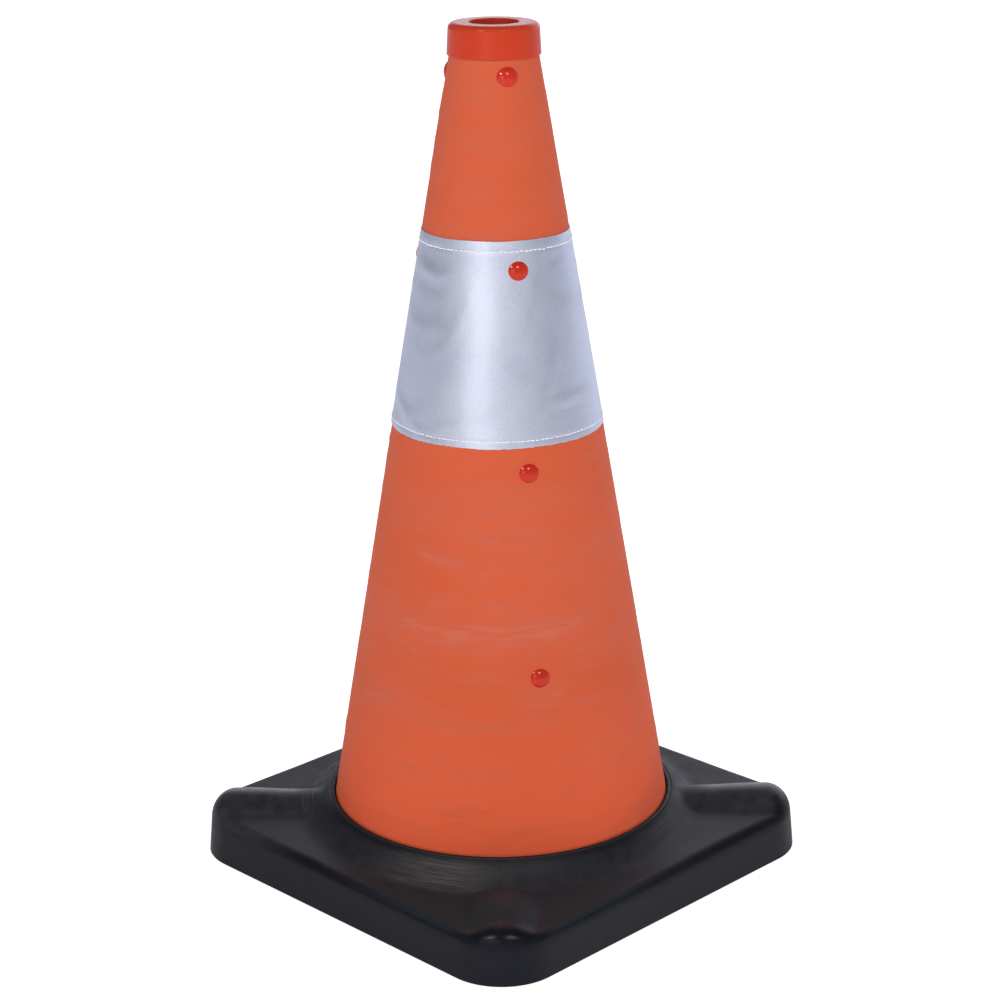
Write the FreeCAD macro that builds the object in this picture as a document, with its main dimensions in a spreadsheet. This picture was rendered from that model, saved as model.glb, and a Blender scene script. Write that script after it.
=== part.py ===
import FreeCAD, Part
import math
import os
import Sketcher

# Telescopic traffic cone. Millimetres, +Z up, origin at the centre of the base's underside.
# Four nested conical sections slide in each other under a fabric sleeve that is riveted to
# each section near its rim. The lowest section is screwed into a square rubber base.

V = FreeCAD.Vector
SHEET = "Dims"
TOUCH = 0.01

# Driving dimensions: alias, value (mm, degrees or a plain ratio), meaning.
DIMENSIONS = [
    ("base_side", 384.0, "side of the square base at the floor"),
    ("base_corner_radius", 51.0, "corner radius at the floor"),
    ("base_edge_height", 38.0, "height of the base's side wall"),
    ("base_draft_angle", 5.0, "lean of the side walls"),
    ("base_edge_round", 9.0, "rounding of the top edge"),
    ("ridge_crest_height", 50.5, "height of the corner ridges' crests"),
    ("ridge_radius", 39.9, "radius of a ridge's round section"),
    ("ridge_inner_end", 146.0, "where a ridge starts, from the cone's axis"),
    ("ridge_outer_end", 245.5, "where a ridge ends, from the cone's axis"),
    ("ridge_end_round", 28.0, "rounding of a ridge's outer end"),
    ("corner_count", 4.0, "corners, each with a ridge"),
    ("collar_root_height", 34.0, "where the collar's body starts inside the slab"),
    ("collar_rim_height", 57.0, "height of the collar's lip"),
    ("collar_lip", 3.5, "thickness of the collar's lip"),
    ("collar_foot_radius", 172.0, "where the collar meets the base's top"),
    ("collar_shoulder_radius", 154.0, "bend of the collar's hollow outline"),
    ("collar_shoulder_height", 44.0, "height of that bend"),
    ("foot_radius", 140.3, "outer radius of the sleeve at the collar"),
    ("foot_height", 56.0, "height at which foot_radius is measured"),
    ("cone_taper", 0.1698, "loss of radius per unit of height"),
    ("fabric", 0.8, "thickness of the sleeve"),
    ("band_cloth", 0.5, "thickness of the reflective band"),
    ("skin_gap", 1.1, "from the sleeve's outside to a section's rim"),
    ("collar_gap", 0.7, "between the sleeve and the collar's bore"),
    ("wall", 2.0, "thickness of a section's wall"),
    ("lip_depth", 3.0, "how far a section's rim turns inwards"),
    ("slide_gap", 0.4, "between a section and the lip round it"),
    ("bead_depth", 2.8, "how far a section's foot bead stands out"),
    ("bead_height", 4.0, "height of the foot bead"),
    ("overlap", 18.0, "length of a section inside the one below it"),
    ("rim_above_rivets", 8.0, "from a rivet row up to its section's rim"),
    ("row_lower", 198.0, "height of the lowest rivet row"),
    ("row_lower_mid", 360.0, "height of the second rivet row"),
    ("row_upper_mid", 516.0, "height of the third rivet row"),
    ("row_top", 662.0, "height of the highest rivet row"),
    ("travel_lower_mid", 158.0, "how far the lower middle section slides down"),
    ("travel_upper_mid", 152.0, "how far the upper middle section slides down"),
    ("travel_top", 147.0, "how far the top section slides down"),
    ("rivet_azimuth", -29.0, "angle of the first rivet of each row from +X"),
    ("rivet_count", 3.0, "rivets in a row"),
    ("rivet_head_radius", 7.6, "radius of a rivet's domed head"),
    ("rivet_head_height", 2.8, "height of the dome"),
    ("rivet_shank_radius", 2.0, "radius of the shank"),
    ("rivet_hole_radius", 2.2, "radius of the holes for the shank"),
    ("rivet_tail_radius", 3.2, "radius of the spread tail"),
    ("rivet_tail_height", 1.2, "height of the spread tail"),
    ("head_gap", 0.1, "between a head and the cloth under it"),
    ("wall_grip", 3.9, "from the sleeve's outside to a washer"),
    ("spigot_grip", 9.3, "the same on the top row, through the cap's spigot"),
    ("drill_depth", 14.0, "how far inwards a rivet hole is drilled"),
    ("washer_radius", 4.2, "outer radius of a backing washer"),
    ("washer_bore", 2.2, "inner radius of a backing washer"),
    ("washer_height", 1.0, "thickness of a backing washer"),
    ("band_bottom", 380.0, "lower edge of the reflective band"),
    ("band_top", 539.0, "upper edge of the reflective band"),
    ("stitch_inset_bottom", 5.5, "from the band's lower edge to its stitches"),
    ("stitch_inset_top", 8.0, "from the band's upper edge to its stitches"),
    ("thread_radius", 0.35, "radius of the sewing thread"),
    ("sleeve_foot", 30.0, "where the sleeve ends inside the collar"),
    ("cap_seat", 675.0, "underside of the cap and top of the top section"),
    ("cone_height", 700.0, "overall height"),
    ("cap_foot_radius", 37.0, "outer radius of the cap at its foot"),
    ("cap_brow_radius", 35.6, "outer radius of the cap at its top"),
    ("cap_round", 4.8, "rounding of the cap's top edge"),
    ("cap_skin", 3.0, "wall thickness of the cap"),
    ("cap_hole_radius", 19.5, "radius of the hole through the cap"),
    ("hub_wall", 2.4, "wall thickness round the hole"),
    ("hub_foot", 664.0, "lower end of the hole's wall"),
    ("spigot_radius", 31.7, "outer radius of the spigot in the top section"),
    ("spigot_wall", 2.3, "wall thickness of the spigot"),
    ("spigot_foot", 652.0, "lower end of the spigot"),
    ("socket_gap", 0.1, "between the cap's hub and the lamp socket"),
    ("socket_wall", 2.0, "wall thickness of the lamp socket"),
    ("socket_floor", 604.0, "underside of the lamp socket"),
    ("socket_top", 692.0, "upper end of the lamp socket"),
    ("drain_radius", 4.0, "drain hole in the lamp socket's floor"),
    ("section_foot", 12.0, "top of the lowest section's flange"),
    ("flange_height", 4.0, "thickness of the flange"),
    ("flange_radius", 153.0, "outer radius of the flange"),
    ("flange_gap", 0.3, "between the flange and its recess"),
    ("plate_height", 4.0, "thickness of the base plate"),
    ("plate_radius", 166.0, "outer radius of the base plate"),
    ("stop_wall", 3.0, "wall thickness of the plate's stop rings"),
    ("stop_gap", 0.2, "between a stop ring and a section that is right down"),
    ("recess_radius", 167.0, "radius of the plate's recess under the base"),
    ("screw_circle", 159.6, "distance of the base screws from the axis"),
    ("screw_count", 6.0, "number of base screws"),
    ("screw_radius", 2.0, "radius of a base screw's shank"),
    ("screw_head_radius", 4.5, "radius of a base screw's head"),
    ("screw_head_height", 2.4, "height of a base screw's head"),
    ("screw_hole_radius", 2.2, "radius of the screw holes"),
    ("insert_radius", 3.6, "outer radius of a threaded insert"),
    ("insert_length", 14.0, "length of a threaded insert"),
    ("screw_end", 20.0, "upper end of a base screw"),
]

# Each section: its name, the section below it, its rivet row and the row's grip.
SECTIONS = [
    ("lower", None, "row_lower", "wall_grip"),
    ("lower_mid", "lower", "row_lower_mid", "wall_grip"),
    ("upper_mid", "lower_mid", "row_upper_mid", "wall_grip"),
    ("top", "upper_mid", "row_top", "spigot_grip"),
]

# The base plate's faces, up to the flange that it clamps.
PLATE_TOP = "(<section_foot> - <flange_height>)"
PLATE_FOOT = "(<section_foot> - <flange_height> - <plate_height>)"

doc = FreeCAD.newDocument("telescopic_cone")


def make_sheet():
    """Write the driving dimensions into a spreadsheet, one alias a row."""
    sheet = doc.addObject("Spreadsheet::Sheet", SHEET)
    for row, (alias, value, meaning) in enumerate(DIMENSIONS, start=1):
        sheet.set(f"A{row}", alias)
        sheet.set(f"B{row}", str(value))
        sheet.set(f"C{row}", meaning)
        sheet.setAlias(f"B{row}", alias)
    doc.recompute()
    return sheet


sheet = make_sheet()


def bound(expression):
    """Turn the aliases in an expression into references to the sheet."""
    for alias in sorted((row[0] for row in DIMENSIONS), key=len, reverse=True):
        expression = expression.replace(f"<{alias}>", f"{SHEET}.{alias}")
    return expression


def value_of(expression):
    """The present value of an expression, in millimetres, degrees or plain numbers."""
    return float(sheet.evalExpression(bound(expression)))


# ---- places on the cone, as expressions ----

def cone_radius(height):
    """Outer radius of the sleeve at a height."""
    return f"(<foot_radius> - <cone_taper> * ({height} - <foot_height>))"


def rim_height(name):
    """Height of a section's rim."""
    if name == "top":
        return "<cap_seat>"
    return f"(<row_{name}> + <rim_above_rivets>)"


def rim_radius(name):
    """Outer radius of a section's rim."""
    return f"({cone_radius(rim_height(name))} - <skin_gap>)"


def throat_radius(below):
    """Outer radius of the section that slides through the rim of the section below."""
    return f"({rim_radius(below)} - <wall> - <lip_depth> - <slide_gap>)"


def turned(angle):
    """A rotation about the cone's axis."""
    return FreeCAD.Placement(V(0, 0, 0), FreeCAD.Rotation(V(0, 0, 1), angle))


# ---- bodies, sketches and features ----

def new_body(label):
    body = doc.addObject("PartDesign::Body", label)
    body.Label = label
    return body


def origin_feature(body, role):
    return next(item for item in body.Origin.OriginFeatures if item.Role == role)


def new_sketch(body, name, plane="XZ_Plane"):
    sketch = body.newObject("Sketcher::SketchObject", name)
    sketch.AttachmentSupport = (origin_feature(body, plane), [""])
    sketch.MapMode = "FlatFace"
    return sketch


def fix_point(sketch, line, x, y):
    """Hold the start point of a line at (x, y), each an expression."""
    for kind, expression in (("DistanceX", x), ("DistanceY", y)):
        if expression == "0":
            axis = -2 if kind == "DistanceX" else -1
            sketch.addConstraint(Sketcher.Constraint("PointOnObject", line, 1, axis))
            continue
        index = sketch.addConstraint(
            Sketcher.Constraint(kind, -1, 1, line, 1, value_of(expression)))
        sketch.setExpression(f"Constraints[{index}]", bound(expression))


def draw_outline(sketch, points):
    """Draw a closed outline of straight lines through (x, y) expressions."""
    places = [V(value_of(x), value_of(y), 0) for x, y in points]
    count = len(places)
    for i in range(count):
        sketch.addGeometry(Part.LineSegment(places[i], places[(i + 1) % count]), False)
    for i in range(count):
        sketch.addConstraint(Sketcher.Constraint("Coincident", i, 2, (i + 1) % count, 1))
    for i, (x, y) in enumerate(points):
        fix_point(sketch, i, x, y)


def draw_ring(sketch, radii):
    """Draw circles about the sketch's origin."""
    for ring, radius in enumerate(radii):
        size = value_of(radius)
        sketch.addGeometry(Part.Circle(V(0, 0, 0), V(0, 0, 1), size), False)
        sketch.addConstraint(Sketcher.Constraint("Coincident", ring, 3, -1, 1))
        index = sketch.addConstraint(Sketcher.Constraint("Radius", ring, size))
        sketch.setExpression(f"Constraints[{index}]", bound(radius))


def draw_dome(sketch, foot, reach, radius):
    """Draw half a dome's outline: its flat at x = foot, its top at foot + reach."""
    x0, x1, edge = value_of(foot), value_of(f"{foot} + {reach}"), value_of(radius)
    ball = (edge ** 2 + (x1 - x0) ** 2) / (2 * (x1 - x0))
    centre = V(x1 - ball, 0, 0)
    sketch.addGeometry(Part.LineSegment(V(x0, 0, 0), V(x0, edge, 0)), False)
    rim_angle = math.atan2(edge, x0 - centre.x)
    circle = Part.Circle(centre, V(0, 0, 1), ball)
    sketch.addGeometry(Part.ArcOfCircle(circle, 0.0, rim_angle), False)
    sketch.addGeometry(Part.LineSegment(V(x1, 0, 0), V(x0, 0, 0)), False)
    for a, a_end, b, b_end in ((0, 2, 1, 2), (1, 1, 2, 1), (2, 2, 0, 1)):
        sketch.addConstraint(Sketcher.Constraint("Coincident", a, a_end, b, b_end))
    sketch.addConstraint(Sketcher.Constraint("Vertical", 0))
    sketch.addConstraint(Sketcher.Constraint("PointOnObject", 1, 3, -1))
    fix_point(sketch, 0, foot, "0")
    fix_point(sketch, 2, f"({foot} + {reach})", "0")
    index = sketch.addConstraint(Sketcher.Constraint("DistanceY", 0, 1, 0, 2, edge))
    sketch.setExpression(f"Constraints[{index}]", bound(radius))


def revolve(body, sketch, kind="Revolution", axis="V_Axis", angle=360.0):
    """Add (Revolution) or cut (Groove) a sketch turned about one of its own axes."""
    feature = body.newObject(f"PartDesign::{kind}", f"{body.Label}_{kind}")
    feature.Profile = sketch
    feature.ReferenceAxis = (sketch, [axis])
    feature.Angle = angle
    sketch.Visibility = False
    doc.recompute()
    return feature


def round_edges(body, feature, names, radius):
    """Round the named edges of a feature."""
    rounded = body.newObject("PartDesign::Fillet", f"{body.Label}_round")
    rounded.Base = (feature, names)
    rounded.setExpression("Radius", bound(radius))
    body.Tip = rounded
    doc.recompute()


def repeat(body, features, count):
    """Repeat features round the cone's axis."""
    pattern = body.newObject("PartDesign::PolarPattern", f"{body.Label}_pattern")
    pattern.Originals = features
    pattern.Axis = (origin_feature(body, "Z_Axis"), [""])
    pattern.Angle = 360.0
    pattern.setExpression("Occurrences", bound(count))
    body.Tip = pattern
    doc.recompute()
    return pattern


def turned_body(label, points):
    """A body turned from a closed outline of (radius, height) expressions."""
    body = new_body(label)
    sketch = new_sketch(body, f"{label}_outline")
    draw_outline(sketch, points)
    revolve(body, sketch)
    return body


def tilt_on_cone(sketch, row):
    """Lay a sketch's X axis along the cone's normal at a rivet row."""
    tilt = math.degrees(math.atan(value_of("<cone_taper>")))
    turn = FreeCAD.Rotation(V(0, 0, 1), tilt)
    sketch.AttachmentOffset = FreeCAD.Placement(V(0, 0, 0), turn)
    sketch.setExpression("AttachmentOffset.Base.x", bound(cone_radius(f"<{row}>")))
    sketch.setExpression("AttachmentOffset.Base.y", bound(f"<{row}>"))


def rod_outline(start, end, radius):
    """Half the outline of a rod along X, for turning about X."""
    return [(start, "0"), (end, "0"), (end, radius), (start, radius)]


def drill_rivet_holes(body, row):
    """Cut the holes for a rivet row through a body."""
    sketch = new_sketch(body, f"{body.Label}_hole")
    tilt_on_cone(sketch, row)
    depth, reach = "(-1 * <drill_depth>)", "<rivet_head_height>"
    draw_outline(sketch, rod_outline(depth, reach, "<rivet_hole_radius>"))
    hole = revolve(body, sketch, "Groove", "H_Axis")
    repeat(body, [hole], "<rivet_count>")
    body.Placement = turned(value_of("<rivet_azimuth>"))


# ---- the pieces ----

def make_section(name, below, row):
    """A plastic section: conical wall, lip at the rim, bead or flange at the foot."""
    top, outer = rim_height(name), rim_radius(name)
    if below is None:
        foot = "<section_foot>"
        foot_radius = f"({cone_radius(foot)} - <skin_gap>)"
        points = [
            (f"({foot_radius} - <wall>)", f"({foot} - <flange_height>)"),
            ("<flange_radius>", f"({foot} - <flange_height>)"),
            ("<flange_radius>", foot),
            (foot_radius, foot),
        ]
        neck = []
    else:
        throat = throat_radius(below)
        foot = f"({rim_height(below)} - <overlap>)"
        points = [
            (f"({throat} - <wall>)", foot),
            (f"({throat} + <bead_depth>)", foot),
            (f"({throat} + <bead_depth>)", f"({foot} + <bead_height>)"),
            (throat, f"({foot} + <bead_height>)"),
            (throat, rim_height(below)),
        ]
        neck = [(f"({throat} - <wall>)", rim_height(below))]
    points.append((outer, top))
    if name == "top":
        points.append((f"({outer} - <wall>)", top))
    else:
        lip = f"({outer} - <wall> - <lip_depth>)"
        points += [
            (lip, top),
            (lip, f"({top} - <wall>)"),
            (f"({outer} - <wall> + <cone_taper> * <wall>)", f"({top} - <wall>)"),
        ]
    body = turned_body(f"section_{name}", points + neck)
    drill_rivet_holes(body, row)


def make_sleeve(name, low, row):
    """A sleeve panel: a thin conical shell from one rim up to the next."""
    high = rim_height(name)
    points = [
        (f"({cone_radius(low)} - <fabric>)", low),
        (cone_radius(low), low),
        (cone_radius(high), high),
        (f"({cone_radius(high)} - <fabric>)", high),
    ]
    body = turned_body(f"sleeve_{name}", points)
    drill_rivet_holes(body, row)


def make_band(name, low, high, row=None):
    """A part of the reflective band, lying on the sleeve."""
    points = [
        (cone_radius(low), low),
        (f"({cone_radius(low)} + <band_cloth>)", low),
        (f"({cone_radius(high)} + <band_cloth>)", high),
        (cone_radius(high), high),
    ]
    body = turned_body(name, points)
    if row:
        drill_rivet_holes(body, row)


def make_thread(label, height):
    """A row of stitches round the band, as one ring of thread."""
    ring = doc.addObject("Part::Torus", label)
    ring.Label = label
    stand_off = f"({cone_radius(height)} + <band_cloth> + 1.3 * <thread_radius>)"
    ring.setExpression("Radius1", bound(stand_off))
    ring.setExpression("Radius2", bound("<thread_radius>"))
    ring.setExpression("Placement.Base.z", bound(height))


def make_rivets(name, row, grip):
    """A row of domed rivets: head outside, shank through the walls, spread tail inside."""
    body = new_body(f"rivets_{name}")
    skin = "(<band_cloth> + <head_gap>)" if name == "upper_mid" else "<head_gap>"
    tail = f"(-1 * (<{grip}> + <washer_height>))"
    tail_end = f"({tail} - <rivet_tail_height>)"
    parts = []
    for piece, outline in (
            ("shank", rod_outline(tail_end, skin, "<rivet_shank_radius>")),
            ("tail", rod_outline(tail_end, tail, "<rivet_tail_radius>"))):
        sketch = new_sketch(body, f"rivets_{name}_{piece}")
        tilt_on_cone(sketch, row)
        draw_outline(sketch, outline)
        parts.append(revolve(body, sketch, axis="H_Axis"))
    sketch = new_sketch(body, f"rivets_{name}_head")
    tilt_on_cone(sketch, row)
    draw_dome(sketch, skin, "<rivet_head_height>", "<rivet_head_radius>")
    parts.append(revolve(body, sketch, axis="H_Axis"))
    body.AllowCompound = True
    repeat(body, parts, "<rivet_count>")
    body.Placement = turned(value_of("<rivet_azimuth>"))


def make_washers(name, row, grip):
    """The backing washers of a rivet row."""
    body = new_body(f"washers_{name}")
    body.AllowCompound = True
    sketch = new_sketch(body, f"washers_{name}_outline")
    tilt_on_cone(sketch, row)
    inner, outer = f"(-1 * (<{grip}> + <washer_height>))", f"(-1 * <{grip}>)"
    draw_outline(sketch, [
        (inner, "<washer_bore>"),
        (outer, "<washer_bore>"),
        (outer, "<washer_radius>"),
        (inner, "<washer_radius>"),
    ])
    washer = revolve(body, sketch, axis="H_Axis")
    repeat(body, [washer], "<rivet_count>")
    body.Placement = turned(value_of("<rivet_azimuth>"))


def make_cap():
    """The cap: outer skirt, top ring, hub round the hole and spigot into the top section."""
    hub_radius = "(<cap_hole_radius> + <hub_wall>)"
    spigot_inside = "(<spigot_radius> - <spigot_wall>)"
    ceiling = "(<cone_height> - <cap_skin>)"
    body = turned_body("cap", [
        ("<cap_hole_radius>", "<hub_foot>"),
        (hub_radius, "<hub_foot>"),
        (hub_radius, ceiling),
        (spigot_inside, ceiling),
        (spigot_inside, "<spigot_foot>"),
        ("<spigot_radius>", "<spigot_foot>"),
        ("<spigot_radius>", "<cap_seat>"),
        ("<cap_foot_radius>", "<cap_seat>"),
        ("<cap_brow_radius>", "<cone_height>"),
        ("<cap_hole_radius>", "<cone_height>"),
    ])
    turning = body.Tip
    top, outside = value_of("<cone_height>"), value_of("<cap_brow_radius>")
    names = [
        f"Edge{i + 1}" for i, edge in enumerate(turning.Shape.Edges)
        if abs(edge.BoundBox.ZMin - top) < TOUCH
        and abs(edge.BoundBox.XMax - outside) < TOUCH]
    round_edges(body, turning, names, "<cap_round>")
    drill_rivet_holes(body, "row_top")


def make_lamp_socket():
    """The cup under the cap's hole, pushed onto the hub."""
    bore = "(<cap_hole_radius> + <hub_wall> + <socket_gap>)"
    outside = f"({bore} + <socket_wall>)"
    turned_body("lamp_socket", [
        ("<drain_radius>", "<socket_floor>"),
        (outside, "<socket_floor>"),
        (outside, "<socket_top>"),
        (bore, "<socket_top>"),
        (bore, "(<socket_floor> + <socket_wall>)"),
        ("<drain_radius>", "(<socket_floor> + <socket_wall>)"),
    ])


def upright_rod(label, radius, low, high, bore=None):
    """A group of upright rods on the screw circle, hollow when a bore is given."""
    body = new_body(label)
    body.AllowCompound = True
    features = []
    for step, (rod_radius, start, end) in enumerate(zip(radius, low, high)):
        sketch = new_sketch(body, f"{label}_circle_{step}", "XY_Plane")
        sketch.setExpression("AttachmentOffset.Base.x", bound("<screw_circle>"))
        sketch.setExpression("AttachmentOffset.Base.z", bound(start))
        draw_ring(sketch, [rod_radius] + ([bore] if bore else []))
        pad = body.newObject("PartDesign::Pad", f"{label}_pad_{step}")
        pad.Profile = sketch
        pad.setExpression("Length", bound(f"{end} - {start}"))
        sketch.Visibility = False
        doc.recompute()
        features.append(pad)
    repeat(body, features, "<screw_count>")


def drill_screw_holes(body, radius, low, high):
    """Cut the holes for the base screws."""
    sketch = new_sketch(body, f"{body.Label}_screw_hole", "XY_Plane")
    sketch.setExpression("AttachmentOffset.Base.x", bound("<screw_circle>"))
    sketch.setExpression("AttachmentOffset.Base.z", bound(high))
    draw_ring(sketch, [radius])
    pocket = body.newObject("PartDesign::Pocket", f"{body.Label}_screw_pocket")
    pocket.Profile = sketch
    pocket.setExpression("Length", bound(f"{high} - {low}"))
    sketch.Visibility = False
    doc.recompute()
    repeat(body, [pocket], "<screw_count>")


def stop_ring(below, travelled):
    """Outline of the ring that a section's foot lands on, from outside to inside."""
    outside = f"({throat_radius(below)} - <wall> + <stop_wall>)"
    inside = f"({outside} - <stop_wall>)"
    landing = f"({rim_height(below)} - <overlap> - ({travelled}) - <stop_gap>)"
    return [(outside, PLATE_TOP), (outside, landing), (inside, landing), (inside, PLATE_TOP)]


def make_base_plate():
    """The plate under the base: it clamps the flange and carries the stop rings."""
    points = [("0", PLATE_FOOT), ("<plate_radius>", PLATE_FOOT), ("<plate_radius>", PLATE_TOP)]
    travelled = "0"
    for name, below, row, grip in SECTIONS[1:]:
        travelled = f"{travelled} + <travel_{name}>"
        points += stop_ring(below, travelled)
    body = turned_body("base_plate", points + [("0", PLATE_TOP)])
    drill_screw_holes(body, "<screw_hole_radius>", PLATE_FOOT, PLATE_TOP)


def rounded_square(sketch, side, radius):
    """Draw a square with rounded corners about the sketch's origin."""
    half, bend = value_of(f"{side} / 2"), value_of(radius)
    reach = half - bend
    for corner in range(4):
        turn = FreeCAD.Rotation(V(0, 0, 1), 90 * corner)
        start, end = turn.multVec(V(half, -reach, 0)), turn.multVec(V(half, reach, 0))
        sketch.addGeometry(Part.LineSegment(start, end), False)
        centre = turn.multVec(V(reach, reach, 0))
        circle = Part.Circle(centre, V(0, 0, 1), bend)
        begin = math.radians(90 * corner)
        sketch.addGeometry(Part.ArcOfCircle(circle, begin, begin + math.pi / 2), False)
    for corner in range(4):
        line, arc, following = 2 * corner, 2 * corner + 1, (2 * corner + 2) % 8
        sketch.addConstraint(Sketcher.Constraint("Tangent", line, 2, arc, 1))
        sketch.addConstraint(Sketcher.Constraint("Tangent", arc, 2, following, 1))
        upright = "Vertical" if corner % 2 == 0 else "Horizontal"
        sketch.addConstraint(Sketcher.Constraint(upright, line))
        if corner:
            sketch.addConstraint(Sketcher.Constraint("Equal", 1, arc))
    index = sketch.addConstraint(Sketcher.Constraint("Radius", 1, bend))
    sketch.setExpression(f"Constraints[{index}]", bound(radius))
    for line, kind, sign in ((0, "DistanceX", 1), (2, "DistanceY", 1),
                             (4, "DistanceX", -1), (6, "DistanceY", -1)):
        index = sketch.addConstraint(
            Sketcher.Constraint(kind, -1, 1, line, 1, sign * half))
        sketch.setExpression(f"Constraints[{index}]", bound(f"{sign} * {side} / 2"))


def make_rubber_base():
    """The rubber base: drafted slab, collar round the cone's foot and corner ridges."""
    body = new_body("rubber_base")
    sketch = new_sketch(body, "slab_outline", "XY_Plane")
    rounded_square(sketch, "<base_side>", "<base_corner_radius>")
    slab = body.newObject("PartDesign::Pad", "slab")
    slab.Profile = sketch
    slab.setExpression("Length", bound("<base_edge_height>"))
    slab.TaperAngle = -1 * value_of("<base_draft_angle>")
    sketch.Visibility = False
    doc.recompute()
    top = value_of("<base_edge_height>")
    names = [
        f"Edge{i + 1}" for i, edge in enumerate(slab.Shape.Edges)
        if abs(edge.BoundBox.ZMin - top) < TOUCH]
    round_edges(body, slab, names, "<base_edge_round>")

    ridge_sketch = new_sketch(body, "ridge_outline", "XY_Plane")
    ridge_sketch.AttachmentOffset = FreeCAD.Placement(
        V(0, 0, 0), FreeCAD.Rotation(V(0, 0, 1), 45))
    ridge_sketch.setExpression(
        "AttachmentOffset.Base.z", bound("<ridge_crest_height> - <ridge_radius>"))
    draw_ridge(ridge_sketch)
    ridge = revolve(body, ridge_sketch, axis="H_Axis", angle=180.0)
    if ridge.Shape.BoundBox.ZMin < -TOUCH:
        ridge.Reversed = True
        doc.recompute()
    repeat(body, [ridge], "<corner_count>")

    lip = "(<foot_radius> + <collar_gap> + <collar_lip>)"
    collar = new_sketch(body, "collar_outline")
    draw_outline(collar, [
        ("0", "<collar_root_height>"),
        ("<collar_foot_radius>", "<collar_root_height>"),
        ("<collar_foot_radius>", "<base_edge_height>"),
        ("<collar_shoulder_radius>", "<collar_shoulder_height>"),
        (lip, "<collar_rim_height>"),
        ("0", "<collar_rim_height>"),
    ])
    revolve(body, collar)

    bore = new_sketch(body, "bore_outline")
    under, above = "(-1 * <wall>)", "(2 * <collar_rim_height>)"
    draw_outline(bore, [
        ("0", under),
        ("<recess_radius>", under),
        ("<recess_radius>", PLATE_TOP),
        ("(<flange_radius> + <flange_gap>)", PLATE_TOP),
        ("(<flange_radius> + <flange_gap>)", "<section_foot>"),
        (f"({cone_radius('<section_foot>')} + <collar_gap>)", "<section_foot>"),
        (f"({cone_radius(above)} + <collar_gap>)", above),
        ("0", above),
    ])
    cut = revolve(body, bore, "Groove")
    body.Tip = cut
    insert_end = f"({PLATE_TOP} + <insert_length>)"
    drill_screw_holes(body, "<insert_radius>", PLATE_TOP, insert_end)


def draw_ridge(sketch):
    """Draw half a ridge seen from above, with a rounded outer end."""
    start, end = value_of("<ridge_inner_end>"), value_of("<ridge_outer_end>")
    half, bend = value_of("<ridge_radius>"), value_of("<ridge_end_round>")
    sketch.addGeometry(Part.LineSegment(V(start, 0, 0), V(end, 0, 0)), False)
    sketch.addGeometry(Part.LineSegment(V(end, 0, 0), V(end, half - bend, 0)), False)
    circle = Part.Circle(V(end - bend, half - bend, 0), V(0, 0, 1), bend)
    sketch.addGeometry(Part.ArcOfCircle(circle, 0.0, math.pi / 2), False)
    sketch.addGeometry(Part.LineSegment(V(end - bend, half, 0), V(start, half, 0)), False)
    sketch.addGeometry(Part.LineSegment(V(start, half, 0), V(start, 0, 0)), False)
    joint = Sketcher.Constraint
    sketch.addConstraint(joint("Coincident", 0, 2, 1, 1))
    sketch.addConstraint(joint("Tangent", 1, 2, 2, 1))
    sketch.addConstraint(joint("Tangent", 2, 2, 3, 1))
    sketch.addConstraint(joint("Coincident", 3, 2, 4, 1))
    sketch.addConstraint(joint("Coincident", 4, 2, 0, 1))
    sketch.addConstraint(joint("Horizontal", 0))
    sketch.addConstraint(joint("Vertical", 1))
    sketch.addConstraint(joint("Vertical", 4))
    fix_point(sketch, 0, "<ridge_inner_end>", "0")
    for kind, first, expression in (
            ("DistanceX", (-1, 1, 1, 1), "<ridge_outer_end>"),
            ("DistanceY", (-1, 1, 4, 1), "<ridge_radius>"),
            ("Radius", (2,), "<ridge_end_round>")):
        index = sketch.addConstraint(joint(kind, *first, value_of(expression)))
        sketch.setExpression(f"Constraints[{index}]", bound(expression))


def make_base():
    """The base's own pieces: rubber, plate, screws and inserts."""
    make_rubber_base()
    make_base_plate()
    head_foot = f"({PLATE_FOOT} - <screw_head_height>)"
    upright_rod("base_screws", ("<screw_head_radius>", "<screw_radius>"),
                (head_foot, PLATE_FOOT), (PLATE_FOOT, "<screw_end>"))
    insert_end = f"({PLATE_TOP} + <insert_length>)"
    upright_rod("base_inserts", ("<insert_radius>",), (PLATE_TOP,), (insert_end,),
                bore="<screw_radius>")


def make_cone():
    """The sections with their rivets and washers, the sleeve, the band and the cap."""
    low = "<sleeve_foot>"
    for name, below, row, grip in SECTIONS:
        make_section(name, below, row)
        make_sleeve(name, low, row)
        make_rivets(name, row, grip)
        make_washers(name, row, grip)
        low = rim_height(name)
    split = rim_height("upper_mid")
    make_band("band_lower", "<band_bottom>", split, "row_upper_mid")
    make_band("band_upper", split, "<band_top>")
    make_thread("stitches_bottom", "(<band_bottom> + <stitch_inset_bottom>)")
    make_thread("stitches_top", "(<band_top> - <stitch_inset_top>)")
    make_cap()
    make_lamp_socket()


def piece_objects():
    """Every sub-part: the bodies and the loose primitives."""
    kinds = ("PartDesign::Body", "Part::Torus")
    return [item for item in doc.Objects if item.TypeId in kinds]


def check_document():
    """Stop when an object failed or a sub-part has no valid shape."""
    for item in doc.Objects:
        if "Invalid" in item.State or "Error" in item.State:
            raise RuntimeError(f"{item.Label} failed: {item.State}")
    for piece in piece_objects():
        if piece.Shape.isNull() or not piece.Shape.isValid():
            raise RuntimeError(f"{piece.Label} has no valid shape")


make_base()
make_cone()
doc.recompute()
check_document()
os.makedirs("parts", exist_ok=True)
for piece in piece_objects():
    piece.Shape.exportStep(f"parts/{piece.Label}.step")
    solids = len(piece.Shape.Solids)
    print(f"{piece.Label}: {solids} solid(s), {piece.Shape.Volume / 1000:.2f} cm3")
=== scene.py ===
import math

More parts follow.
